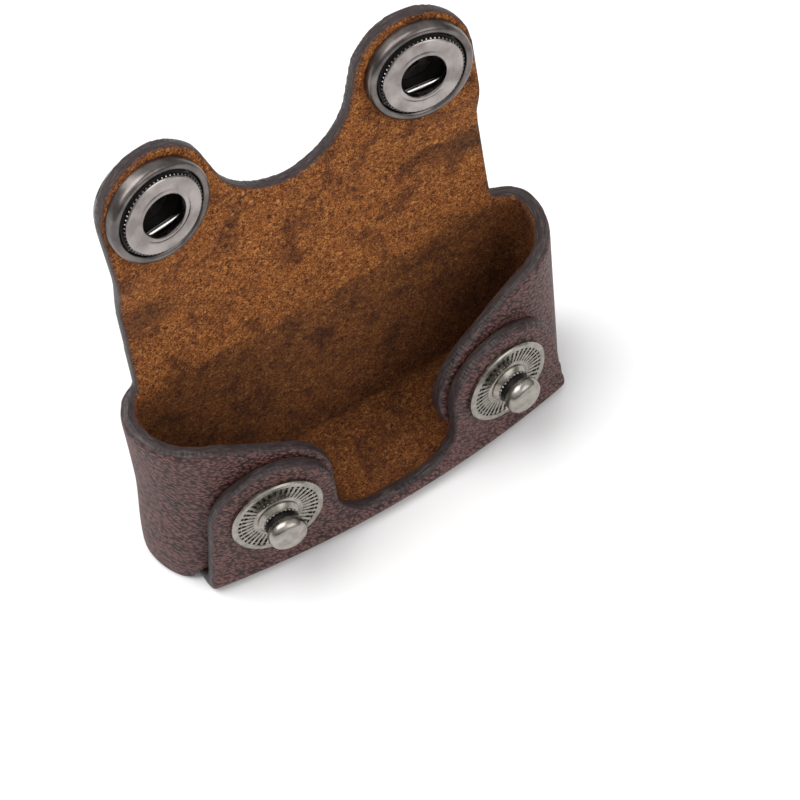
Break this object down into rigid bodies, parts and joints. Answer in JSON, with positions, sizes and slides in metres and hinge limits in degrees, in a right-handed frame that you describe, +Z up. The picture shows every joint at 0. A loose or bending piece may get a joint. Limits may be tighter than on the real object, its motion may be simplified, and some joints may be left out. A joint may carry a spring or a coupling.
{
  "type": "leather razor head cover",
  "caption": "Folded leather pocket with a flap, round notch and press studs that snaps shut over a safety razor's head and leaves the handle out.",
  "frame": {"origin": "on the ground under the middle of the pocket, at the base's resting face", "axes": "+X to the right along the pocket, +Y to the back panel and the flap's crease, +Z up out of the open pocket"},
  "size_m": [0.059, 0.0232, 0.0635],
  "materials": {
    "leather": "satin",
    "black_nickel": "polished",
    "bright_nickel": "satin",
    "spring_steel": "satin"
  },
  "bodies": {
    "case": {"leather_body": "leather", "left_stud_disc": "bright_nickel", "left_stud": "bright_nickel", "left_stud_rivet": "bright_nickel", "right_stud_disc": "bright_nickel", "right_stud": "bright_nickel", "right_stud_rivet": "bright_nickel"},
    "flap": {"flap_top": "leather"},
    "flap_roll": {"flap_roll": "leather"},
    "flap_front": {"left_ear": "leather", "left_cap_shell": "black_nickel", "left_cap_post": "black_nickel", "left_socket_case": "black_nickel", "left_socket_plate": "black_nickel", "right_ear": "leather", "right_cap_shell": "black_nickel", "right_cap_post": "black_nickel", "right_socket_case": "black_nickel", "right_socket_plate": "black_nickel"},
    "left_upper_wire": {"left_upper_wire": "spring_steel"},
    "left_lower_wire": {"left_lower_wire": "spring_steel"},
    "right_upper_wire": {"right_upper_wire": "spring_steel"},
    "right_lower_wire": {"right_lower_wire": "spring_steel"}
  },
  "joints": [
    {"name": "flap_crease", "type": "hinge", "parent": "case", "child": "flap", "pos_m": [0, 0.007, 0.0285], "axis": [1, 0, 0], "range_deg": [-35, 105.23]},
    {"name": "flap_shoulder", "type": "hinge", "parent": "flap", "child": "flap_roll", "pos_m": [0, 0.00803, 0.04193], "axis": [1, 0, 0], "range_deg": [0, 39.58]},
    {"name": "flap_front_bend", "type": "hinge", "parent": "flap_roll", "child": "flap_front", "pos_m": [0, 0.00638, 0.04883], "axis": [1, 0, 0], "range_deg": [0, 39.58]},
    {"name": "left_upper_wire_flex", "type": "slide", "parent": "flap_front", "child": "left_upper_wire", "axis": [0, 0.0767, 0.9971], "range_m": [0, 0.0004], "stiffness_N_per_m": 1500},
    {"name": "left_lower_wire_flex", "type": "slide", "parent": "flap_front", "child": "left_lower_wire", "axis": [0, -0.0767, -0.9971], "range_m": [0, 0.0004], "stiffness_N_per_m": 1500},
    {"name": "right_upper_wire_flex", "type": "slide", "parent": "flap_front", "child": "right_upper_wire", "axis": [0, 0.0767, 0.9971], "range_m": [0, 0.0004], "stiffness_N_per_m": 1500},
    {"name": "right_lower_wire_flex", "type": "slide", "parent": "flap_front", "child": "right_lower_wire", "axis": [0, -0.0767, -0.9971], "range_m": [0, 0.0004], "stiffness_N_per_m": 1500}
  ],
  "couplings": [
    {"joint": "flap_front_bend", "follows": "flap_shoulder", "ratio": 1}
  ]
}
